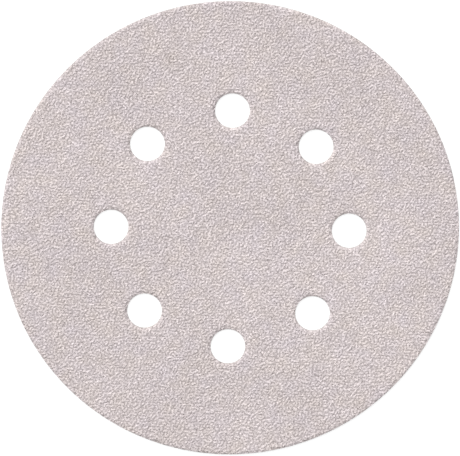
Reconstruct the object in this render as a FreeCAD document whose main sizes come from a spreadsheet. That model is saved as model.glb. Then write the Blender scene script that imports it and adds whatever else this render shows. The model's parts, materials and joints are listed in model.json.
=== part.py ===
# Hook-and-loop sanding disc with eight dust holes, for the pad of a random orbital sander.
#
# The disc is punched in one stroke out of a finished sheet: grain in its bond, on paper, on a loop
# pile. The punch comes down on the grain side, so along the rim and round every hole the grain face
# rolls over before it meets the cut wall, and the springy pile draws in a little at its own edge.
# The real thing is one piece, so it is one solid.
#
# Millimetres. The origin is the centre of the loop face, +Z is the way the grain faces, and the
# first dust hole lies on +Y.

import FreeCAD, Part
import enum
import math
import os

import Sketcher

# Driving sizes: each is a cell of the sheet, under the same name.
SIZES = {
    "disc_diameter": 125.0,  # across the punched rim
    "hole_circle_diameter": 65.0,  # through the centres of the dust holes
    "hole_diameter": 9.5,  # each dust hole, at its straight wall
    "hole_count": 8,  # dust holes, evenly spaced
    "pile_height": 0.7,  # loop pile under the paper
    "paper_thickness": 0.2,  # between the pile and the bond
    "grain_height": 0.3,  # grain with its bond, on the paper
    "roll_width": 0.8,  # from a cut wall in to where the grain face is flat
    "roll_radius": 1.6,  # of the roll-over, tangent to the grain face
    "pile_bevel": 0.15,  # of the pile at a cut wall, as high as it is wide
}

NODE = "sanding_disc"
THICKNESS = "Sizes.pile_height + Sizes.paper_thickness + Sizes.grain_height"
FULL_TURN = 360
UPWARD = FreeCAD.Vector(0, 0, 1)

# Points of a sketched line or arc, as the sketcher numbers them
START, END, CENTRE = enum.IntEnum("Point", "START END CENTRE")


def write_sizes(doc):
    """Fills the sheet: a name, its number and an alias for each driving size."""
    sheet = doc.addObject("Spreadsheet::Sheet", "Sizes")
    for row, (name, size) in enumerate(SIZES.items(), start=1):
        sheet.set(f"A{row}", name)
        sheet.set(f"B{row}", str(size))
        sheet.setAlias(f"B{row}", name)
    doc.recompute()


def origin_feature(body, role):
    """One of the body's own origin planes or axes, such as XZ_Plane or Z_Axis."""
    return next(f for f in body.Origin.OriginFeatures if f.Role == role)


def sketch_on(body, name, role):
    """An empty sketch on one of the body's own origin planes."""
    sketch = body.newObject("Sketcher::SketchObject", name)
    sketch.AttachmentSupport = (origin_feature(body, role), [""])
    sketch.MapMode = "FlatFace"
    return sketch


def origin_point():
    """The origin that every sketch has, as an edge number and a point of it."""
    return (-1, START)


def line(sketch, start, end):
    """Adds a straight edge and returns its number in the sketch."""
    ends = FreeCAD.Vector(*start), FreeCAD.Vector(*end)
    return sketch.addGeometry(Part.LineSegment(*ends), False)


def arc(sketch, centre, radius, first, last):
    """Adds an arc, anticlockwise between two angles in degrees, and returns its number."""
    circle = Part.Circle(FreeCAD.Vector(*centre), UPWARD, radius)
    turned = Part.ArcOfCircle(circle, math.radians(first), math.radians(last))
    return sketch.addGeometry(turned, False)


def constrain(sketch, kind, *where):
    """A constraint with no size, such as Horizontal or Tangent."""
    sketch.addConstraint(Sketcher.Constraint(kind, *where))


def dimension(sketch, name, kind, where, size, bound_to):
    """A named dimension that takes its value from the sheet.

    where is a list of what it measures: an edge, or an edge and one of its ends.
    """
    measured = [number for item in where for number in item]
    number = sketch.addConstraint(Sketcher.Constraint(kind, *measured, size))
    sketch.renameConstraint(number, name)
    sketch.setExpression(f"Constraints.{name}", bound_to)


def thickness():
    """The whole sheet: pile, paper and grain."""
    return SIZES["pile_height"] + SIZES["paper_thickness"] + SIZES["grain_height"]


def roll_angle():
    """How far the roll-over turns from the flat face to the cut wall, in degrees."""
    return math.degrees(math.asin(SIZES["roll_width"] / SIZES["roll_radius"]))


def shoulder():
    """The height at which the roll-over meets the cut wall."""
    drop = SIZES["roll_radius"] * (1 - math.cos(math.radians(roll_angle())))
    return thickness() - drop


def draw_cut_edge(sketch, radius, outward):
    """The section of a punched edge: the pile's bevel, the cut wall and the roll-over.

    They join end to end from the loop face to the grain face. outward is 1 at a hole, where
    the sheet lies outside the wall, and -1 at the rim, where it lies inside. Returns the bevel,
    the roll-over and the roll-over's end on the grain face.
    """
    pile = SIZES["pile_bevel"]
    width = SIZES["roll_width"]
    roll = SIZES["roll_radius"]
    if outward > 0:
        turned = (90, 90 + roll_angle())
        on_face, on_wall = START, END
    else:
        turned = (90 - roll_angle(), 90)
        on_face, on_wall = END, START

    bevel = line(sketch, (radius + outward * pile, 0), (radius, pile))
    wall = line(sketch, (radius, pile), (radius, shoulder()))
    rolled = arc(sketch, (radius + outward * width, thickness() - roll), roll, *turned)

    constrain(sketch, "Horizontal", *origin_point(), bevel, START)
    constrain(sketch, "Coincident", bevel, END, wall, START)
    constrain(sketch, "Coincident", wall, END, rolled, on_wall)
    constrain(sketch, "Vertical", wall)
    constrain(sketch, "Vertical", rolled, CENTRE, rolled, on_face)

    up_bevel = [(bevel, START), (bevel, END)]
    across_bevel = [(bevel, END), (bevel, START)][::outward]
    across_roll = [(rolled, on_wall), (rolled, on_face)][::outward]
    to_face = [origin_point(), (rolled, on_face)]
    dimension(sketch, "bevel_width", "DistanceX", across_bevel, pile, "Sizes.pile_bevel")
    dimension(sketch, "bevel_height", "DistanceY", up_bevel, pile, "Sizes.pile_bevel")
    dimension(sketch, "roll_width", "DistanceX", across_roll, width, "Sizes.roll_width")
    dimension(sketch, "roll_radius", "Radius", [(rolled,)], roll, "Sizes.roll_radius")
    dimension(sketch, "thickness", "DistanceY", to_face, thickness(), THICKNESS)
    return bevel, rolled, on_face


def draw_blank(body):
    """Half the disc's section, from its axis to the punched rim."""
    radius = SIZES["disc_diameter"] / 2
    top = thickness()
    toe = radius - SIZES["pile_bevel"]
    brow = radius - SIZES["roll_width"]

    sketch = sketch_on(body, "BlankSection", "XZ_Plane")
    bevel, rolled, on_face = draw_cut_edge(sketch, radius, outward=-1)
    back = line(sketch, (0, 0), (toe, 0))
    face = line(sketch, (brow, top), (0, top))
    middle = line(sketch, (0, top), (0, 0))

    constrain(sketch, "Coincident", middle, END, *origin_point())
    constrain(sketch, "Coincident", middle, END, back, START)
    constrain(sketch, "Coincident", back, END, bevel, START)
    constrain(sketch, "Coincident", rolled, on_face, face, START)
    constrain(sketch, "Coincident", face, END, middle, START)
    constrain(sketch, "Horizontal", face)
    constrain(sketch, "Vertical", middle)
    to_wall = [origin_point(), (bevel, END)]
    dimension(sketch, "rim_radius", "DistanceX", to_wall, radius, "Sizes.disc_diameter / 2")
    return sketch


def draw_punch(body):
    """Half the section of what one hole punch takes away, drawn from the hole's own axis.

    Inside the sheet it follows the hole's finished edge. Past both faces it is straight, by
    the sheet's own thickness.
    """
    radius = SIZES["hole_diameter"] / 2
    top = thickness()
    toe = radius + SIZES["pile_bevel"]
    brow = radius + SIZES["roll_width"]

    sketch = sketch_on(body, "PunchSection", "YZ_Plane")
    sketch.setExpression("AttachmentOffset.Base.x", "Sizes.hole_circle_diameter / 2")
    bevel, rolled, on_face = draw_cut_edge(sketch, radius, outward=1)
    below = line(sketch, (0, -top), (toe, -top))
    lead_in = line(sketch, (toe, -top), (toe, 0))
    lead_out = line(sketch, (brow, top), (brow, 2 * top))
    above = line(sketch, (brow, 2 * top), (0, 2 * top))
    middle = line(sketch, (0, 2 * top), (0, -top))

    constrain(sketch, "Coincident", below, END, lead_in, START)
    constrain(sketch, "Coincident", lead_in, END, bevel, START)
    constrain(sketch, "Coincident", rolled, on_face, lead_out, START)
    constrain(sketch, "Coincident", lead_out, END, above, START)
    constrain(sketch, "Coincident", above, END, middle, START)
    constrain(sketch, "Coincident", middle, END, below, START)
    for level in (below, above):
        constrain(sketch, "Horizontal", level)
    for upright in (lead_in, lead_out, middle):
        constrain(sketch, "Vertical", upright)
    constrain(sketch, "Vertical", *origin_point(), middle, START)
    to_wall = [origin_point(), (bevel, END)]
    dimension(sketch, "hole_radius", "DistanceX", to_wall, radius, "Sizes.hole_diameter / 2")
    for name, lead in (("past_the_back", lead_in), ("past_the_face", lead_out)):
        dimension(sketch, name, "DistanceY", [(lead, START), (lead, END)], top, THICKNESS)
    return sketch


def build_disc(doc):
    """The disc: its section turned about Z, one hole grooved out, and the hole repeated."""
    body = doc.addObject("PartDesign::Body", "Disc")
    body.Label = NODE

    section = draw_blank(body)
    blank = body.newObject("PartDesign::Revolution", "Blank")
    blank.Profile = section
    blank.ReferenceAxis = (section, ["V_Axis"])
    blank.Angle = FULL_TURN
    doc.recompute()

    punch = draw_punch(body)
    hole = body.newObject("PartDesign::Groove", "DustHole")
    hole.Profile = punch
    hole.ReferenceAxis = (punch, ["V_Axis"])
    hole.Angle = FULL_TURN
    doc.recompute()

    holes = body.newObject("PartDesign::PolarPattern", "DustHoles")
    holes.Originals = [hole]
    holes.Axis = (origin_feature(body, "Z_Axis"), [""])
    holes.Angle = FULL_TURN
    holes.setExpression("Occurrences", "Sizes.hole_count")
    body.Tip = holes
    doc.recompute()

    check_cuts(blank, hole, holes)
    return body


def check_cuts(blank, hole, holes):
    """Stops the build unless every hole takes the same bite out of the blank."""
    one_bite = blank.Shape.Volume - hole.Shape.Volume
    all_bites = blank.Shape.Volume - holes.Shape.Volume
    if one_bite <= 0:
        raise RuntimeError("the hole punch takes nothing away")
    if not math.isclose(all_bites, SIZES["hole_count"] * one_bite, rel_tol=1e-4):
        raise RuntimeError("the dust holes run into each other or miss the disc")


def check_document(doc):
    """Stops the build if anything in the document failed to compute."""
    for thing in doc.Objects:
        bad = {"Invalid", "Error"} & set(thing.State)
        if bad:
            raise RuntimeError(f"{thing.Name} is {', '.join(sorted(bad))}")
    for sketch in doc.findObjects("Sketcher::SketchObject"):
        if not sketch.FullyConstrained:
            raise RuntimeError(f"{sketch.Name} isn't fully constrained")


def export(bodies):
    """Writes one file for each sub-part, named after its label, once all are sound."""
    for body in bodies:
        if body.Shape.isNull() or not body.Shape.isValid() or len(body.Shape.Solids) != 1:
            raise RuntimeError(f"{body.Label} isn't one valid solid")
    os.makedirs("parts", exist_ok=True)
    for body in bodies:
        body.Shape.exportStep(f"parts/{body.Label}.step")
        print(f"{body.Label}: {body.Shape.Volume:.1f} mm3")


def main():
    doc = FreeCAD.newDocument("SandingDisc")
    write_sizes(doc)
    disc = build_disc(doc)
    check_document(doc)
    export([disc])


main()
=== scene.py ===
"""Looks of a hook-and-loop sanding disc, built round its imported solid.

The disc lies grain side up on a plain pale floor. From the top down it is a coat of grain and bond
under a pale anti-clog finish, a sheet of paper, a knitted ground, and the loops of that knit, which
the disc rests on. All of it was punched in one stroke, so every layer rolls down together along the
rim and round the dust holes.
"""

import json
import math

import bpy
import numpy as np
from bpy.props import FloatProperty, FloatVectorProperty, IntProperty, PointerProperty
from mathutils import Matrix, Vector
from mathutils.geometry import delaunay_2d_cdt


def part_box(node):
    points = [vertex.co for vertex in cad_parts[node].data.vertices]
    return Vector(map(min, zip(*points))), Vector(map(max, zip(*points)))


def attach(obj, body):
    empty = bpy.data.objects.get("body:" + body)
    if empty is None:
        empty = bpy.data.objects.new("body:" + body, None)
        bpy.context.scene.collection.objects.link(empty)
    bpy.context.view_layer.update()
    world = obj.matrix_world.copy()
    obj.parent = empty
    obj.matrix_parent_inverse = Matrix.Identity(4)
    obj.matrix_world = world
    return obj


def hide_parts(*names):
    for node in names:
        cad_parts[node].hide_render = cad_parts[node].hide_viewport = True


bl_info = {
    "name": "Sanding disc",
    "version": (1, 0, 0),
    "blender": (4, 5, 0),
    "location": "3D View > Sidebar > Sanding disc",
    "description": "Builds a hook-and-loop sanding disc with dust holes, and a studio for it",
    "category": "Add Mesh",
}

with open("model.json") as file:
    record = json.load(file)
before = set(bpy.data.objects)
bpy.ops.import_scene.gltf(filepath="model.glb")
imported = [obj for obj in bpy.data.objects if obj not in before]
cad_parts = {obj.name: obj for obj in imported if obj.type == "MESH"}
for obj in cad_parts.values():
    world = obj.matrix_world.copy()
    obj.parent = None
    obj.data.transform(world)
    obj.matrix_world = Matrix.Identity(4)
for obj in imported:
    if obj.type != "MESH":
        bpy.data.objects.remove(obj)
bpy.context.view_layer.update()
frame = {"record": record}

NODE = "sanding_disc"
MM = 0.001

LOW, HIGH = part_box(NODE)
HOLES = next(m for m in frame["record"]["mounts"] if m["name"] == "dust_holes")


# Settings

def length(name, description, millimetres):
    """A length that the sidebar can change."""
    return FloatProperty(
        name=name, description=description, default=millimetres * MM,
        subtype="DISTANCE", unit="LENGTH", min=0, precision=5,
    )


def angle(name, description, degrees):
    """An angle that the sidebar can change."""
    return FloatProperty(
        name=name, description=description, default=math.radians(degrees),
        subtype="ANGLE", unit="ROTATION",
    )


def colour(name, description, red, green, blue):
    """A colour that the sidebar can change, as linear light."""
    return FloatVectorProperty(
        name=name, description=description, default=(red, green, blue),
        subtype="COLOR", size=3, min=0, max=1,
    )


class DiscSizes(bpy.types.PropertyGroup):
    """Sizes of the disc's layers"""

    rim_radius: length(
        "Rim radius", "From the disc's centre to the cut rim",
        min(-LOW.x, -LOW.y, HIGH.x, HIGH.y) / MM,
    )
    hole_circle_radius: length(
        "Hole circle radius", "From the disc's centre to the centre of a dust hole",
        HOLES["dims"]["pcd_mm"] / 2,
    )
    hole_radius: length(
        "Hole radius", "Of each dust hole at its cut wall", HOLES["dims"]["hole_r_mm"],
    )
    hole_count: IntProperty(
        name="Holes", description="Dust holes, evenly spaced round their circle",
        default=HOLES["dims"]["count"], min=1,
    )
    thickness: length(
        "Thickness", "From the floor to the highest grain", (HIGH.z - LOW.z) / MM,
    )
    coat_thickness: length("Coat thickness", "From the paper to the highest grain", 0.3)
    paper_thickness: length("Paper thickness", "Of the paper between coat and fabric", 0.2)
    ground_thickness: length("Ground thickness", "Of the knit that holds the loops", 0.22)
    stitch_depth: length("Stitch depth", "How far a stitch stands proud of the knit's hollows", 0.1)
    rim_roll_width: length("Rim roll width", "From the cut rim in to where the face is flat", 0.8)
    rim_roll_radius: length("Rim roll radius", "Of the rim's edge that the punch pressed down", 1.6)
    hole_roll_width: length(
        "Hole roll width", "From a hole's cut wall out to where the face is flat", 1.2,
    )
    hole_roll_radius: length(
        "Hole roll radius", "Of a hole's edge that the punch pressed down", 2.4,
    )
    lump_spacing: length("Lump spacing", "From one lump of grain to the next", 0.855)
    lump_height: length("Lump height", "From the deepest hollow to the highest crest", 0.217)
    raggedness: length("Raggedness", "How far grain has chipped back from a cut wall", 0.07)
    row_spacing: length("Row spacing", "From one row of loops to the next", 0.9)
    loop_spacing: length("Loop spacing", "From one loop to the next in its row", 0.75)
    loop_width: length("Loop width", "Of the widest loop, from side to side", 0.9)
    loop_lean: length("Loop lean", "How far a loop's top may lie to one side of its feet", 0.95)
    yarn_radius: length("Yarn radius", "Of the yarn that the loops are made of", 0.08)
    seed: IntProperty(name="Seed", description="Of every random draw", default=7, min=0)


class DiscColours(bpy.types.PropertyGroup):
    """Colours of the disc's layers and of the floor"""

    # Crests and hollows hold the finish's own tone, whiter on the crests, and painted light as
    # well: crests painted lighter and hollows painted darker, as painted shade between the grains.
    crest: colour("Crests", "Anti-clog finish on the crests of the grain", 0.865, 0.775, 0.773)
    hollow: colour("Hollows", "The same finish down between the grains", 0.467, 0.409, 0.408)
    paper: colour("Paper", "Of the paper's cut edge", 0.640, 0.585, 0.520)
    yarn: colour("Yarn", "Of the loops and the knit that holds them", 0.860, 0.855, 0.840)
    floor: colour("Floor", "Of the studio floor", 0.4, 0.4, 0.4)


class DiscStudio(bpy.types.PropertyGroup):
    """Where the camera and the lamp stand"""

    camera_tilt: angle("Camera tilt", "How far the camera leans from straight above", 8.36)
    camera_side: angle(
        "Camera side", "Where it leans to, anticlockwise from the picture's right", 96.7,
    )
    camera_roll: angle(
        "Camera roll", "Turns the first dust hole clockwise from the picture's top", 1.1,
    )
    camera_distance: length("Camera distance", "From the disc to the camera", 1800)
    picture_width: length("Picture width", "What the picture spans at the disc", 125.52)
    picture_right: FloatProperty(
        name="Picture right", description="How far right of the disc's centre the picture's lies",
        default=-0.06 * MM, subtype="DISTANCE", unit="LENGTH", precision=5,
    )
    picture_up: FloatProperty(
        name="Picture up", description="How far above the disc's centre the picture's lies",
        default=0.31 * MM, subtype="DISTANCE", unit="LENGTH", precision=5,
    )
    lamp_side: angle(
        "Lamp side", "Where light comes from, anticlockwise from the picture's right", 118,
    )
    lamp_height: angle("Lamp height", "The light's angle above the floor", 38)
    lamp_softness: angle("Lamp softness", "How wide the lamp looks from the disc", 60)
    lamp_share: FloatProperty(
        name="Lamp share", description="Share of a level surface's light that the lamp gives",
        subtype="FACTOR", default=0.6, min=0, max=1,
    )
    floor_glow: FloatProperty(
        name="Floor glow",
        description="Light that the floor shows the camera beyond what it reflects",
        subtype="FACTOR", default=0.8, min=0, max=1,
    )


# Plan of the sheet

FEWEST_POINTS = 12
WHOLE_HULL = 0
MERGED_WITHIN = 1e-6
TINY = 1e-12


def hole_centres(sizes):
    """Plan points of the dust holes' centres. The first lies on +Y."""
    turn = math.pi / 2 + np.arange(sizes.hole_count) * 2 * math.pi / sizes.hole_count
    return sizes.hole_circle_radius * np.stack([np.cos(turn), np.sin(turn)], 1)


def wall_distances(plan, sizes):
    """How far each plan point lies from the rim, and from the nearest hole's wall."""
    to_rim = sizes.rim_radius - np.linalg.norm(plan, axis=1)
    to_holes = [np.linalg.norm(plan - c, axis=1) - sizes.hole_radius for c in hole_centres(sizes)]
    return to_rim, np.min(to_holes, axis=0)


def edge_distance(plan, sizes):
    """How far each plan point lies from the nearest cut wall, inside the sheet."""
    return np.minimum(*wall_distances(plan, sizes))


def roll(distance, width, radius):
    """How far a rolled edge lies down at a distance from its cut wall."""
    over = np.clip(width - distance, 0, width)
    return radius - np.sqrt(radius**2 - over**2)


def rolled_down(plan, sizes):
    """How far the punch pressed the sheet down at each plan point."""
    to_rim, to_hole = wall_distances(plan, sizes)
    at_rim = roll(to_rim, sizes.rim_roll_width, sizes.rim_roll_radius)
    return at_rim + roll(to_hole, sizes.hole_roll_width, sizes.hole_roll_radius)


def outward(plan, sizes):
    """Directions in plan from each point out through the nearest cut wall."""
    step = 0.01 * MM
    east = edge_distance(plan + (step, 0), sizes) - edge_distance(plan - (step, 0), sizes)
    north = edge_distance(plan + (0, step), sizes) - edge_distance(plan - (0, step), sizes)
    slope = np.stack([-east, -north], 1)
    steepness = np.linalg.norm(slope, axis=1, keepdims=True)
    return slope / np.maximum(steepness, TINY)


def ring(centre, radius, spacing):
    """Plan points round a circle, about spacing apart."""
    count = max(FEWEST_POINTS, round(2 * math.pi * radius / spacing))
    turn = np.arange(count) * 2 * math.pi / count
    return np.asarray(centre) + radius * np.stack([np.cos(turn), np.sin(turn)], 1)


def wall_rings(sizes, spacing, from_rim=0.0, from_hole=0.0):
    """One ring along the rim and one round each hole, inset into the sheet."""
    holes = [ring(c, sizes.hole_radius + from_hole, spacing) for c in hole_centres(sizes)]
    return [ring((0, 0), sizes.rim_radius - from_rim, spacing), *holes]


def honeycomb(radius, spacing, stretch=1.0):
    """Plan points of a triangular grid that fills a circle, with its rows stretched apart."""
    row_height = spacing * math.sqrt(0.75) * stretch
    rows = np.arange(-math.ceil(radius / row_height), math.ceil(radius / row_height) + 1)
    columns = np.arange(-math.ceil(radius / spacing), math.ceil(radius / spacing) + 1)
    column, row = np.meshgrid(columns, rows)
    plan = np.stack([(column + row % 2 / 2) * spacing, row * row_height], -1).reshape(-1, 2)
    return plan[np.linalg.norm(plan, axis=1) < radius]


def join_up(plan, outlines):
    """What Blender's triangulation makes of plan points, from millimetres as it is more exact."""
    points = [Vector(p) for p in (plan / MM).tolist()]
    return delaunay_2d_cdt(points, [], outlines, WHOLE_HULL, MERGED_WITHIN, True)


def triangulate(walls, inner):
    """All plan points, the walls' before the inner ones, and triangles between them facing up.

    Only what lies inside the first wall and outside the others is filled.
    """
    plan = np.concatenate([*walls, inner])
    outlines, first = [], 0
    for wall in walls:
        outlines.append(list(range(first, first + len(wall))))
        first += len(wall)
    points, _, triangles, _, _, outlines_around = join_up(plan, outlines)
    if len(points) != len(plan):
        raise RuntimeError("two plan points of the sheet are in one place")
    in_sheet = [around == [0] for around in outlines_around]
    triangles = np.array(triangles)[in_sheet]
    a, b, c = (plan[triangles[:, i]] for i in range(3))
    area = (b - a)[:, 0] * (c - a)[:, 1] - (b - a)[:, 1] * (c - a)[:, 0]
    triangles[area < 0] = triangles[area < 0][:, ::-1]
    return plan, triangles


# Meshes

HIDDEN_SCALE = 1 / 16


def make_piece(name, vertices, triangles, material, smooth=True):
    """A new mesh object in the scene, with one material, smooth or faceted."""
    mesh = bpy.data.meshes.new(name)
    mesh.from_pydata(vertices.tolist(), [], triangles.tolist())
    mesh.materials.append(material)
    mesh.polygons.foreach_set("use_smooth", np.full(len(mesh.polygons), smooth))
    piece = bpy.data.objects.new(name, mesh)
    bpy.context.scene.collection.objects.link(piece)
    return piece


def of_the_disc(piece):
    """Hangs the piece on the disc's body, so that it moves with it, and hides the imported solid
    that it stands for.
    """
    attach(piece, "root")
    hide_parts(NODE)


def mark_points(piece, name, values):
    """Stores one number for each point of the piece, for its material."""
    attribute = piece.data.attributes.new(name, "FLOAT", "POINT")
    attribute.data.foreach_set("value", values.astype(np.float32))


def lay_out(piece, places):
    """Gives the piece its map for baking: one place for each corner of each triangle."""
    layer = piece.data.uv_layers.new(name="OFBake")
    layer.data.foreach_set("uv", places.astype(np.float32).ravel())


def sheet_piece(name, sizes, walls, top, bottom, material, seen="top", smooth=True):
    """A closed sheet between a top and a bottom.

    Each of the two is a pair: its inner plan points, and a function that gives the height at
    all its plan points. The map for baking shows the seen side from straight on, the cut walls
    folded out beside it, and the side that the next layer hides small in a corner.
    """
    sides = []
    for inner, height in (top, bottom):
        plan, faces = triangulate(walls, inner)
        sides.append((np.column_stack([plan, height(plan)]), faces))
    (top_points, top_faces), (bottom_points, bottom_faces) = sides
    wall_faces = stitch(walls, len(top_points))
    vertices = np.concatenate([top_points, bottom_points])
    bottom_faces = bottom_faces[:, ::-1] + len(top_points)
    faces = np.concatenate([top_faces, wall_faces, bottom_faces])
    piece = make_piece(name, vertices, faces, material, smooth)

    span = 2 * (sizes.rim_radius + 2 * sizes.thickness)
    flat = vertices[:, :2] / span + 0.5
    corner = flat * HIDDEN_SCALE
    far = slice(len(top_points), None) if seen == "top" else slice(0, len(top_points))
    folded = flat.copy()
    folded[far] += outward(vertices[far, :2], sizes) * sizes.thickness / 2 / span
    maps = (flat, folded, corner) if seen == "top" else (corner, folded, flat)
    places = [m[f].reshape(-1, 2) for m, f in zip(maps, (top_faces, wall_faces, bottom_faces))]
    lay_out(piece, np.concatenate(places))
    return piece


def stitch(walls, below):
    """Triangles of the cut walls, whose lower points come below points after the upper ones."""
    faces, first = [], 0
    for number, wall in enumerate(walls):
        here = first + np.arange(len(wall))
        after = first + (np.arange(len(wall)) + 1) % len(wall)
        if number > 0:
            here, after = after, here
        faces.append(np.stack([here, here + below, after + below], 1))
        faces.append(np.stack([here, after + below, after], 1))
        first += len(wall)
    return np.concatenate(faces)


def roll_rings(sizes, spacing):
    """Plan points halfway up the rolled edges and where they begin, for a plain sheet."""
    middle = wall_rings(
        sizes, 2 * spacing, sizes.rim_roll_width / 2, sizes.hole_roll_width / 2,
    )
    brow = wall_rings(sizes, 3 * spacing, sizes.rim_roll_width, sizes.hole_roll_width)
    return np.concatenate([*middle, *brow])


# Relief of the grain and of the knit

# Turns are in radians, reach is a share of a lump's size and heights are shares of the relief.
# Two numbers are a range for CREST_REACH, and a mean with its spread for the two heights.
CREST_TURN = 0.4
CREST_REACH = 0.1, 0.25
CREST_HEIGHT = 0.8, 0.09
CORNER_HEIGHT = 0.15
HOLLOW_HEIGHT = 0.2, 0.08
CLEAR_OF_WALLS = 0.3
APART = 0.05 * MM


def middle_of_circle(a, b, c):
    """Centres of the circles through three plan points each."""
    b, c = b - a, c - a
    area = 2 * (b[:, 0] * c[:, 1] - b[:, 1] * c[:, 0])
    bb, cc = (b**2).sum(1), (c**2).sum(1)
    east = (c[:, 1] * bb - b[:, 1] * cc) / area
    north = (b[:, 0] * cc - c[:, 0] * bb) / area
    return a + np.stack([east, north], 1)


def lumps(sites, size, corners, sizes, draw):
    """Plan points of crests and hollows, with their height from 0 up to 1.

    Each site has a lump about size across, whose crest has one corner or more. A hollow lies
    where three lumps meet.
    """
    triangles = np.array(join_up(sites, [])[2])
    hollows = middle_of_circle(*(sites[triangles[:, i]] for i in range(3)))

    fan = np.arange(corners) * 2 * math.pi / corners
    turn = draw.uniform(0, 2 * math.pi, (len(sites), 1)) + fan
    turn = turn + draw.uniform(-CREST_TURN, CREST_TURN, turn.shape)
    reach = draw.uniform(*CREST_REACH, turn.shape) * size
    crests = sites[:, None] + reach[..., None] * np.stack([np.cos(turn), np.sin(turn)], -1)
    high = draw.normal(*CREST_HEIGHT, (len(sites), 1))
    high = high + draw.uniform(-CORNER_HEIGHT, CORNER_HEIGHT, turn.shape)
    low = draw.normal(*HOLLOW_HEIGHT, len(hollows))

    plan = np.concatenate([crests.reshape(-1, 2), hollows])
    height = np.clip(np.concatenate([high.ravel(), low]), 0, 1)
    inside = edge_distance(plan, sizes) > CLEAR_OF_WALLS * size
    plan, height = plan[inside], height[inside]
    cells = np.round(plan / APART).astype(int)
    alone = np.unique(cells, axis=0, return_index=True)[1]
    return plan[alone], height[alone]


def ragged(walls, sizes):
    """The walls' rings with grain chipped back from them here and there, mostly a little."""
    draw = np.random.default_rng(sizes.seed + 1)
    chipped = []
    for wall in walls:
        depth = sizes.raggedness * draw.uniform(0, 1, (len(wall), 1)) ** 2
        chipped.append(wall - depth * outward(wall, sizes))
    return chipped


# Materials

USUAL_NOISE = 0.3, 0.7


def new_material(name):
    """A node material with a Principled shader, its tree and that shader."""
    material = bpy.data.materials.new(name)
    material.use_nodes = True
    tree = material.node_tree
    return material, tree, tree.nodes["Principled BSDF"]


def new_group(name, inputs, outputs):
    """A shader group, with its sockets, its input node and its output node."""
    group = bpy.data.node_groups.new(name, "ShaderNodeTree")
    for label, default in inputs.items():
        socket = group.interface.new_socket(label, in_out="INPUT", socket_type="NodeSocketFloat")
        socket.default_value = default
    for label in outputs:
        group.interface.new_socket(label, in_out="OUTPUT", socket_type="NodeSocketFloat")
    return group, group.nodes.new("NodeGroupInput"), group.nodes.new("NodeGroupOutput")


def math_node(tree, operation, first, second):
    """The result of one operation on two values, each a socket or a number."""
    node = tree.nodes.new("ShaderNodeMath")
    node.operation = operation
    for socket, value in zip(node.inputs, (first, second)):
        if isinstance(value, bpy.types.NodeSocket):
            tree.links.new(value, socket)
        else:
            socket.default_value = value
    return node.outputs[0]


def add_up(tree, first, second, third):
    """The sum of three sockets."""
    return math_node(tree, "ADD", math_node(tree, "ADD", first, second), third)


def map_range(tree, value, from_min, from_max, to_min, to_max):
    """The value moved from one range into another."""
    node = tree.nodes.new("ShaderNodeMapRange")
    node.inputs["From Min"].default_value = from_min
    node.inputs["From Max"].default_value = from_max
    node.inputs["To Min"].default_value = to_min
    node.inputs["To Max"].default_value = to_max
    tree.links.new(value, node.inputs["Value"])
    return node.outputs[0]


def mix_colours(tree, factor, low, high, blend="MIX"):
    """A colour that goes from low to high as factor goes from 0 to 1."""
    node = tree.nodes.new("ShaderNodeMix")
    node.data_type = "RGBA"
    node.blend_type = blend
    node.clamp_factor = False
    a, b = (s for s in node.inputs if s.type == "RGBA")
    for socket, value in ((node.inputs[0], factor), (a, low), (b, high)):
        if isinstance(value, bpy.types.NodeSocket):
            tree.links.new(value, socket)
        elif socket.type == "RGBA":
            socket.default_value = (*value, 1)
        else:
            socket.default_value = value
    return next(s for s in node.outputs if s.type == "RGBA")


def noise(tree, place, size, detail=2.0, distortion=0.0):
    """Cloudy noise whose patches are about size across."""
    node = tree.nodes.new("ShaderNodeTexNoise")
    node.inputs["Scale"].default_value = 1 / size
    node.inputs["Detail"].default_value = detail
    node.inputs["Distortion"].default_value = distortion
    tree.links.new(place, node.inputs["Vector"])
    return node.outputs["Fac"]


def spread(tree, tone, low, high):
    """Noise moved into a range, from the one in which almost all of it lies."""
    return map_range(tree, tone, *USUAL_NOISE, low, high)


def dimmed(colour, share):
    """A share of a colour's light."""
    return [share * channel for channel in colour]


def point_value(tree, name):
    """The number that each of the piece's points was marked with."""
    node = tree.nodes.new("ShaderNodeAttribute")
    node.attribute_name = name
    return node.outputs["Fac"]


def object_place(tree):
    """Coordinates in the piece's own metres."""
    return tree.nodes.new("ShaderNodeTexCoord").outputs["Object"]


def place_over(group, size):
    """Coordinates in the piece's own metres, divided by a size that the group is given."""
    shrink = group.nodes.new("ShaderNodeVectorMath")
    shrink.operation = "SCALE"
    group.links.new(object_place(group), shrink.inputs[0])
    group.links.new(math_node(group, "DIVIDE", 1.0, size), shrink.inputs["Scale"])
    return shrink.outputs[0]


def add_bump(tree, height, shader, distance):
    """Bends the shader's normal by a height that is given as a share of a distance."""
    node = tree.nodes.new("ShaderNodeBump")
    node.inputs["Distance"].default_value = distance
    tree.links.new(height, node.inputs["Height"])
    tree.links.new(node.outputs[0], shader.inputs["Normal"])


def speck_group():
    """Grain too fine for the mesh: uneven specks, and the height that goes with them."""
    sizes = {"Speck Size": 0.35 * MM, "Crystal Size": 0.2 * MM}
    group, given, result = new_group("Mineral specks", sizes, ["Tone", "Height"])
    specks = noise(group, place_over(group, given.outputs["Speck Size"]), 1)
    crystals = group.nodes.new("ShaderNodeTexVoronoi")
    crystals.inputs["Scale"].default_value = 1
    place = place_over(group, given.outputs["Crystal Size"])
    group.links.new(place, crystals.inputs["Vector"])
    height = math_node(group, "SUBTRACT", specks, crystals.outputs["Distance"])
    group.links.new(specks, result.inputs["Tone"])
    group.links.new(height, result.inputs["Height"])
    return group


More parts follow.
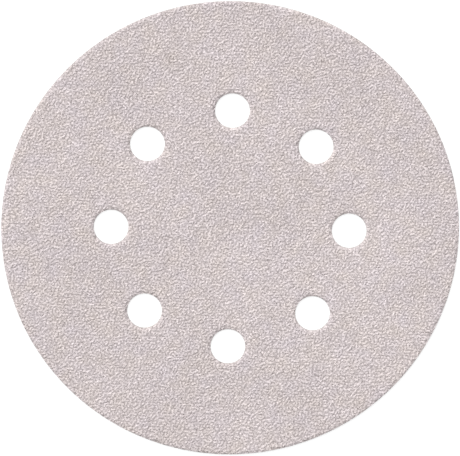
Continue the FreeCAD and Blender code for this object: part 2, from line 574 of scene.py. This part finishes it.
def mottle_group():
    """Slow unevenness of a coating or a fabric, over some millimetres or centimetres."""
    sizes = {"Shade Size": 28 * MM, "Tint Size": 5 * MM}
    group, given, result = new_group("Slow mottle", sizes, ["Shade", "Tint"])
    shade = noise(group, place_over(group, given.outputs["Shade Size"]), 1, detail=3.0)
    tint = noise(group, place_over(group, given.outputs["Tint Size"]), 1, detail=1.0)
    group.links.new(shade, result.inputs["Shade"])
    group.links.new(tint, result.inputs["Tint"])
    return group


def fibre_group():
    """Fine fibres that lie in all directions, as in paper or yarn."""
    group, given, result = new_group("Fibres", {"Fibre Size": 0.1 * MM}, ["Tone"])
    place = place_over(group, given.outputs["Fibre Size"])
    fibres = noise(group, place, 1, detail=4.0, distortion=1.5)
    group.links.new(fibres, result.inputs["Tone"])
    return group


GROUPS = {"Mineral specks": speck_group, "Slow mottle": mottle_group, "Fibres": fibre_group}


def effect(tree, name, **values):
    """The outputs of a shared group with its inputs set. The first use makes the group."""
    node = tree.nodes.new("ShaderNodeGroup")
    node.node_tree = bpy.data.node_groups.get(name) or GROUPS[name]()
    for label, value in values.items():
        node.inputs[label.replace("_", " ").title()].default_value = value
    return node.outputs


def coat_material(colours):
    """Grain in its bond under a pale, dry anti-clog finish, whiter on the crests, with painted
    light on the crests and painted shade in the hollows.
    """
    material, tree, shader = new_material("coated_grain")
    specks = effect(tree, "Mineral specks")
    mottle = effect(tree, "Slow mottle")
    speck = spread(tree, specks["Tone"], -0.52, 0.52)
    shade = spread(tree, mottle["Shade"], -0.07, 0.07)
    # Painted light and shade: the finish mark runs from the hollows up to the crests, so hollows
    # come out darker and crests lighter, beyond the finish's own whiter crests.
    tone = add_up(tree, point_value(tree, "finish"), speck, shade)
    base = mix_colours(tree, tone, colours.hollow, colours.crest)
    warmer, cooler = (1.005, 1.0, 0.945), (0.985, 1.0, 1.055)
    tint = mix_colours(tree, mottle["Tint"], warmer, cooler)
    base = mix_colours(tree, 1.0, base, tint, blend="MULTIPLY")
    tree.links.new(base, shader.inputs["Base Color"])
    tree.links.new(map_range(tree, tone, 0, 1, 0.95, 0.7), shader.inputs["Roughness"])
    add_bump(tree, specks["Height"], shader, 0.06 * MM)
    shader.inputs["Specular IOR Level"].default_value = 0.3
    return material


def paper_material(colours):
    """Cut edge of a fibrous paper."""
    material, tree, shader = new_material("backing_paper")
    tone = effect(tree, "Fibres", fibre_size=0.12 * MM)["Tone"]
    base = mix_colours(tree, tone, dimmed(colours.paper, 0.75), colours.paper)
    tree.links.new(base, shader.inputs["Base Color"])
    tree.links.new(map_range(tree, tone, 0, 1, 0.95, 0.8), shader.inputs["Roughness"])
    add_bump(tree, tone, shader, 0.02 * MM)
    return material


def knit_material(colours, sizes):
    """Underside of a fine knit: ribs of chained stitches, one rib to each row of loops. Its colour
    carries painted shade: darker down between ribs and stitches, under the loops.
    """
    material, tree, shader = new_material("knitted_ground")
    split = tree.nodes.new("ShaderNodeSeparateXYZ")
    tree.links.new(object_place(tree), split.inputs[0])
    half_row, half_stitch = sizes.row_spacing / 2, sizes.loop_spacing / 4
    across = math_node(tree, "PINGPONG", split.outputs["X"], half_row)
    slant = math_node(tree, "ADD", split.outputs["Y"], across)
    along = math_node(tree, "PINGPONG", slant, half_stitch)
    rib = map_range(tree, across, 0, half_row, 0, 1)
    chain = map_range(tree, along, 0, half_stitch, 0, 0.6)
    fluff = spread(tree, effect(tree, "Fibres", fibre_size=0.08 * MM)["Tone"], 0, 1)
    height = add_up(tree, rib, chain, fluff)
    mottle = effect(tree, "Slow mottle", shade_size=14 * MM)
    shade = spread(tree, mottle["Shade"], -0.2, 0.2)
    # Painted shade: the low parts of ribs and stitches, under the loops, come out darker than the
    # stitch tops.
    tone = math_node(tree, "ADD", map_range(tree, height, 0.2, 2.3, 0, 1), shade)
    base = mix_colours(tree, tone, dimmed(colours.yarn, 0.76), dimmed(colours.yarn, 0.98))
    tree.links.new(base, shader.inputs["Base Color"])
    tree.links.new(map_range(tree, tone, 0, 1, 0.9, 0.65), shader.inputs["Roughness"])
    add_bump(tree, height, shader, 0.06 * MM)
    shader.inputs["Sheen Weight"].default_value = 0.3
    return material


def yarn_material(colours):
    """Soft white yarn of the loops, a little uneven from loop to loop."""
    material, tree, shader = new_material("pile_yarn")
    fibre = effect(tree, "Fibres", fibre_size=0.05 * MM)["Tone"]
    mottle = effect(tree, "Slow mottle", shade_size=14 * MM)
    from_loop = map_range(tree, point_value(tree, "yarn"), 0, 1, -0.25, 0.25)
    shade = spread(tree, mottle["Shade"], -0.3, 0.3)
    tone = add_up(tree, fibre, from_loop, shade)
    base = mix_colours(tree, tone, dimmed(colours.yarn, 0.82), colours.yarn)
    tree.links.new(base, shader.inputs["Base Color"])
    tree.links.new(map_range(tree, tone, 0, 1, 0.75, 0.5), shader.inputs["Roughness"])
    add_bump(tree, fibre, shader, 0.01 * MM)
    shader.inputs["Sheen Weight"].default_value = 0.8
    shader.inputs["Sheen Roughness"].default_value = 0.4
    return material


def seen_directly(tree):
    """A socket that is 1 for what the camera sees, plainly, in a mirror or through glass."""
    path = tree.nodes.new("ShaderNodeLightPath")
    plainly, mirrored = path.outputs["Is Camera Ray"], path.outputs["Is Glossy Ray"]
    either = math_node(tree, "MAXIMUM", plainly, mirrored)
    return math_node(tree, "MAXIMUM", either, path.outputs["Is Transmission Ray"])


def floor_material(colours, studio):
    """A pale floor that shows white where it is lit and keeps the disc's shadow."""
    material, tree, shader = new_material("studio_floor")
    shader.inputs["Base Color"].default_value = (*colours.floor, 1)
    shader.inputs["Roughness"].default_value = 1
    shader.inputs["Specular IOR Level"].default_value = 0
    shader.inputs["Emission Color"].default_value = (1, 1, 1, 1)
    glow = math_node(tree, "MULTIPLY", seen_directly(tree), studio.floor_glow)
    tree.links.new(glow, shader.inputs["Emission Strength"])
    return material


# Pieces

class DISC_OT_abrasive_coat(bpy.types.Operator):
    """Make the coat of grain and bond, with its lumps and its rolled edges"""

    bl_idname = "disc.abrasive_coat"
    bl_label = "Abrasive coat"

    CORNERS = 2
    SITE_SHIFT = 0.33
    EDGE_HEIGHT = 0.1, 0.9
    FINISH_AND_SHADE_SPREAD = 0.08

    def execute(self, context):
        sizes = context.scene.disc_sizes
        size = sizes.lump_spacing
        walls = ragged(wall_rings(sizes, size / 2), sizes)
        draw = np.random.default_rng(sizes.seed)
        sites = honeycomb(sizes.rim_radius + 2 * size, size)
        sites = sites + draw.uniform(-self.SITE_SHIFT, self.SITE_SHIFT, sites.shape) * size
        inner, height = lumps(sites, size, self.CORNERS, sizes, draw)
        draw = np.random.default_rng(sizes.seed + 2)
        edge = draw.uniform(*self.EDGE_HEIGHT, sum(len(wall) for wall in walls))
        relief = np.concatenate([edge, height])

        def top(plan):
            return sizes.thickness - rolled_down(plan, sizes) - sizes.lump_height * (1 - relief)

        def bottom(plan):
            return sizes.thickness - rolled_down(plan, sizes) - sizes.coat_thickness

        below = roll_rings(sizes, size / 2)
        material = coat_material(context.scene.disc_colours)
        piece = sheet_piece(
            "abrasive_coat", sizes, walls, (inner, top), (below, bottom), material, smooth=False,
        )
        # The finish mark follows the relief: partly the finish's whiter crests, partly painted
        # light on the crests and painted shade in the hollows.
        finish = relief + draw.normal(0, self.FINISH_AND_SHADE_SPREAD, len(relief))
        hidden = np.zeros(len(piece.data.vertices) - len(relief))
        mark_points(piece, "finish", np.concatenate([finish, hidden]))
        of_the_disc(piece)
        return {"FINISHED"}


class DISC_OT_paper(bpy.types.Operator):
    """Make the paper between the grain and the fabric"""

    bl_idname = "disc.paper"
    bl_label = "Paper"

    def execute(self, context):
        sizes = context.scene.disc_sizes
        upper = sizes.thickness - sizes.coat_thickness
        spacing = sizes.lump_spacing
        inner = roll_rings(sizes, spacing)

        def top(plan):
            return upper - rolled_down(plan, sizes)

        def bottom(plan):
            return top(plan) - sizes.paper_thickness

        material = paper_material(context.scene.disc_colours)
        walls = wall_rings(sizes, spacing)
        piece = sheet_piece("backing_paper", sizes, walls, (inner, top), (inner, bottom), material)
        of_the_disc(piece)
        return {"FINISHED"}


class DISC_OT_ground(bpy.types.Operator):
    """Make the knitted ground under the paper"""

    bl_idname = "disc.ground"
    bl_label = "Knitted ground"

    CORNERS = 1
    SITE_SHIFT = 0.1
    EDGE_HEIGHT = 0.2, 0.8

    def execute(self, context):
        sizes = context.scene.disc_sizes
        size = sizes.loop_spacing
        draw = np.random.default_rng(sizes.seed + 4)
        walls = wall_rings(sizes, size / 2)
        above = roll_rings(sizes, size / 2)
        sites = stitches(sizes, sizes.rim_radius + 2 * sizes.row_spacing)
        sites = sites + draw.uniform(-self.SITE_SHIFT, self.SITE_SHIFT, sites.shape) * size
        inner, height = lumps(sites, size, self.CORNERS, sizes, draw)
        edge = draw.uniform(*self.EDGE_HEIGHT, sum(len(wall) for wall in walls))
        relief = np.concatenate([edge, height])

        def top(plan):
            return ground_level(plan, sizes) + sizes.ground_thickness

        def bottom(plan):
            return ground_level(plan, sizes) + sizes.stitch_depth * (1 - relief)

        material = knit_material(context.scene.disc_colours, sizes)
        piece = sheet_piece(
            "knitted_ground", sizes, walls, (above, top), (inner, bottom), material, seen="bottom",
        )
        of_the_disc(piece)
        return {"FINISHED"}


def stitches(sizes, radius):
    """Plan points of the knit's stitches, in rows along Y, out to a radius."""
    stretch = sizes.loop_spacing / sizes.row_spacing / math.sqrt(0.75)
    return honeycomb(radius, sizes.row_spacing, stretch)


def ground_level(plan, sizes):
    """Height of the lowest stitches of the knitted ground."""
    above = sizes.coat_thickness + sizes.paper_thickness + sizes.ground_thickness
    return sizes.thickness - above - rolled_down(plan, sizes)


class DISC_OT_loops(bpy.types.Operator):
    """Make the loops that the disc rests on, in a few pieces of some thousand loops each"""

    bl_idname = "disc.loops"
    bl_label = "Pile loops"

    RINGS = 7
    SIDES = 3
    PIECES = 4

    FOOT_SHIFT = 0.2
    WALL_CLOSENESS = 0.6
    NAP_SPREAD = 0.9
    NARROWEST = 0.5
    LEAST_LEAN = 0.2
    BELLY = 0.6
    BEND_GATHERING = 0.07
    HIGHEST_REST = 0.12 * MM
    CLEAR_OF_WALLS = 1.1

    def execute(self, context):
        sizes = context.scene.disc_sizes
        draw = np.random.default_rng(sizes.seed + 3)
        paths, level = self.bend(self.place_feet(sizes, draw), sizes, draw)
        tubes = self.wrap(paths, level, sizes)
        material = yarn_material(context.scene.disc_colours)
        for number, part in enumerate(np.array_split(np.arange(len(tubes)), self.PIECES), 1):
            self.make(f"pile_loops_{number}", tubes[part], material, draw)
        return {"FINISHED"}

    def place_feet(self, sizes, draw):
        """Plan points between each loop's feet, along rows and once more along the cut walls."""
        rows = stitches(sizes, sizes.rim_radius)
        shift = draw.uniform(-self.FOOT_SHIFT, self.FOOT_SHIFT, rows.shape)
        rows = rows + shift * (sizes.row_spacing, sizes.loop_spacing)
        yarn = 2 * sizes.yarn_radius
        rows = rows[edge_distance(rows, sizes) > sizes.loop_width / 2 + yarn]
        cut = wall_rings(sizes, sizes.loop_spacing * self.WALL_CLOSENESS, yarn, yarn)
        return np.concatenate([rows, *cut])

    def bend(self, feet, sizes, draw):
        """The middle line of every loop, and the level direction that each leans in.

        A loop goes down from one foot, swells, bends over at its top and comes back up to the
        other foot. Its points are closer together round the bend.
        """
        count = len(feet)
        aside = self.lay_nap(feet, sizes, draw)
        across = aside[:, ::-1] * (1, -1)
        half = sizes.loop_width / 2 * draw.uniform(self.NARROWEST, 1.0, count)
        lean = sizes.loop_lean * draw.uniform(self.LEAST_LEAN, 1.0, count)

        share = np.linspace(0, 1, self.RINGS)
        share += self.BEND_GATHERING * np.sin(2 * math.pi * share)
        arch = np.sin(math.pi * share)
        swing = -np.cos(math.pi * share) * self.BELLY * (1 + arch)
        plan = feet[:, None] + (half[:, None] * swing)[..., None] * across[:, None]
        plan += (lean[:, None] * arch**2)[..., None] * aside[:, None]
        root = ground_level(plan.reshape(-1, 2), sizes).reshape(count, -1)
        rest = sizes.yarn_radius / 2 + draw.uniform(0, self.HIGHEST_REST, (count, 1))
        height = root + (np.minimum(rest, root) - root) * arch**0.8
        inside = edge_distance(plan.reshape(-1, 2), sizes).reshape(count, -1).min(1)
        kept = inside > self.CLEAR_OF_WALLS * sizes.yarn_radius
        paths = np.concatenate([plan, height[..., None]], 2)
        return paths[kept], np.concatenate([aside, np.zeros((count, 1))], 1)[kept]

    def lay_nap(self, feet, sizes, draw):
        """The way in plan that each loop leans: along the rows, but never out over a cut wall."""
        room = edge_distance(feet, sizes)
        inward = -outward(feet, sizes)
        turn = math.pi / 2 + draw.normal(0, self.NAP_SPREAD, len(feet))
        aside = np.stack([np.cos(turn), np.sin(turn)], 1)
        near = room < sizes.loop_width / 2 + sizes.loop_lean
        leans_out = (aside * inward).sum(1) < 0
        aside[near & leans_out] *= -1
        by_wall = room < sizes.loop_width / 2
        aside[by_wall] = inward[by_wall]
        return aside

    def wrap(self, paths, level, sizes):
        """Points round the middle lines: loop, ring, corner. A flat side faces the floor."""
        ahead = np.gradient(paths, axis=1)
        ahead /= np.linalg.norm(ahead, axis=2, keepdims=True)
        first = np.cross(ahead, np.broadcast_to(level[:, None], paths.shape))
        first /= np.linalg.norm(first, axis=2, keepdims=True)
        second = np.cross(ahead, first)
        turn = np.arange(self.SIDES) * 2 * math.pi / self.SIDES
        out = np.cos(turn)[:, None] * first[:, :, None]
        out = out + np.sin(turn)[:, None] * second[:, :, None]
        points = paths[:, :, None] + sizes.yarn_radius * out
        points[..., 2] = np.maximum(points[..., 2], 0)
        return points

    def make(self, name, tubes, material, draw):
        """One piece out of many closed tubes, whose ends are single triangles."""
        count = len(tubes)
        each = self.RINGS * self.SIDES
        pattern = []
        for ring_number in range(self.RINGS - 1):
            for side in range(self.SIDES):
                a = ring_number * self.SIDES + side
                b = ring_number * self.SIDES + (side + 1) % self.SIDES
                pattern += [(a, b, b + self.SIDES), (a, b + self.SIDES, a + self.SIDES)]
        pattern += [(0, 2, 1), (each - 3, each - 2, each - 1)]
        triangles = (np.arange(count)[:, None, None] * each + np.array(pattern)).reshape(-1, 3)
        piece = make_piece(name, tubes.reshape(-1, 3), triangles, material)
        mark_points(piece, "yarn", np.repeat(draw.uniform(0, 1, count), each))
        lay_out(piece, self.patches(count, np.array(pattern)))
        of_the_disc(piece)

    def patches(self, count, pattern):
        """A small patch of the map for each loop, with its rings across and its sides up.

        The two ends of the loop, which the knit hides, lie small in the patch's margin.
        """
        margin = 0.1
        columns = math.ceil(math.sqrt(count))
        ring_number, side = np.divmod(pattern, self.SIDES)
        wraps = (side == 0) & (side.max(axis=1, keepdims=True) == self.SIDES - 1)
        side = side + self.SIDES * wraps
        inside = np.stack([ring_number / (self.RINGS - 1), side / self.SIDES], -1)
        inside = inside * (1 - 2 * margin) + margin
        inside[-2:] = inside[-2:] * margin
        cell = np.stack([np.arange(count) % columns, np.arange(count) // columns], 1)
        return ((cell[:, None, None] + inside) / columns).reshape(-1, 2)


# Studio

class DISC_OT_studio(bpy.types.Operator):
    """Make the floor, the light and the camera"""

    bl_idname = "disc.studio"
    bl_label = "Studio"

    FLOOR_REACH = 4

    def execute(self, context):
        studio = context.scene.disc_studio
        self.lay_floor(context, studio)
        self.light(context, studio)
        self.aim_camera(context, studio)
        context.scene.view_settings.view_transform = "Standard"
        return {"FINISHED"}

    def lay_floor(self, context, studio):
        """A level floor that reaches past every view."""
        corners = np.array([(-1, -1, 0), (1, -1, 0), (1, 1, 0), (-1, 1, 0)], float)
        corners = corners * self.FLOOR_REACH
        material = floor_material(context.scene.disc_colours, studio)
        make_piece("studio_floor", corners, np.array([(0, 1, 2), (0, 2, 3)]), material)

    def light(self, context, studio):
        """One broad lamp, with the rest of the light from all round."""
        lamp = bpy.data.lights.new("key_light", "SUN")
        lamp.energy = math.pi * studio.lamp_share / math.sin(studio.lamp_height)
        lamp.angle = studio.lamp_softness
        key = bpy.data.objects.new("key_light", lamp)
        side = studio.lamp_side + studio.camera_roll
        level, upward = math.cos(studio.lamp_height), math.sin(studio.lamp_height)
        towards = Vector((level * math.cos(side), level * math.sin(side), upward))
        key.matrix_world = towards.to_track_quat("Z", "Y").to_matrix().to_4x4()
        context.scene.collection.objects.link(key)

        world = bpy.data.worlds.new("studio_light")
        world.use_nodes = True
        tree = world.node_tree
        sky = tree.nodes["Background"]
        sky.inputs["Color"].default_value = (1, 1, 1, 1)
        strength = map_range(tree, seen_directly(tree), 0, 1, 1 - studio.lamp_share, 1)
        tree.links.new(strength, sky.inputs["Strength"])
        context.scene.world = world

    def aim_camera(self, context, studio):
        """A long lens, almost straight above the disc."""
        roll = studio.camera_roll
        right = Vector((math.cos(roll), math.sin(roll), 0))
        up = Vector((-math.sin(roll), math.cos(roll), 0))
        side = math.cos(studio.camera_side) * right + math.sin(studio.camera_side) * up
        away = Vector((0, 0, math.cos(studio.camera_tilt))) + math.sin(studio.camera_tilt) * side
        across = up.cross(away).normalized()
        upright = away.cross(across)
        camera = bpy.data.cameras.new("camera")
        camera.lens = camera.sensor_width * studio.camera_distance / studio.picture_width
        view = bpy.data.objects.new("camera", camera)
        target = Vector((0, 0, context.scene.disc_sizes.thickness))
        target += studio.picture_right * across + studio.picture_up * upright
        turn = Matrix((across, upright, away)).transposed().to_4x4()
        view.matrix_world = Matrix.Translation(target + away * studio.camera_distance) @ turn
        context.scene.collection.objects.link(view)
        context.scene.camera = view


# Sidebar, registering and building

class DISC_PT_sidebar(bpy.types.Panel):
    """Lists the disc's settings, its pieces and its studio"""

    bl_idname = "DISC_PT_sidebar"
    bl_label = "Sanding disc"
    bl_space_type = "VIEW_3D"
    bl_region_type = "UI"
    bl_category = "Sanding disc"

    def draw(self, context):
        for settings, group in SETTINGS.items():
            box = self.layout.box()
            for name in group.__annotations__:
                box.prop(getattr(context.scene, settings), name)
        for operator in OPERATORS:
            self.layout.operator(operator.bl_idname)


SETTINGS = {"disc_sizes": DiscSizes, "disc_colours": DiscColours, "disc_studio": DiscStudio}
OPERATORS = (
    DISC_OT_abrasive_coat,
    DISC_OT_paper,
    DISC_OT_ground,
    DISC_OT_loops,
    DISC_OT_studio,
)
CLASSES = (*SETTINGS.values(), *OPERATORS, DISC_PT_sidebar)


def register():
    """Adds the classes and the settings to Blender."""
    for cls in CLASSES:
        bpy.utils.register_class(cls)
    for name, cls in SETTINGS.items():
        setattr(bpy.types.Scene, name, PointerProperty(type=cls))


def unregister():
    """Takes the settings and the classes out again."""
    for name in SETTINGS:
        delattr(bpy.types.Scene, name)
    for cls in reversed(CLASSES):
        bpy.utils.unregister_class(cls)


def main():
    """Builds every piece and the studio."""
    register()
    bpy.ops.disc.abrasive_coat()
    bpy.ops.disc.paper()
    bpy.ops.disc.ground()
    bpy.ops.disc.loops()
    bpy.ops.disc.studio()


if __name__ == "__main__":
    main()
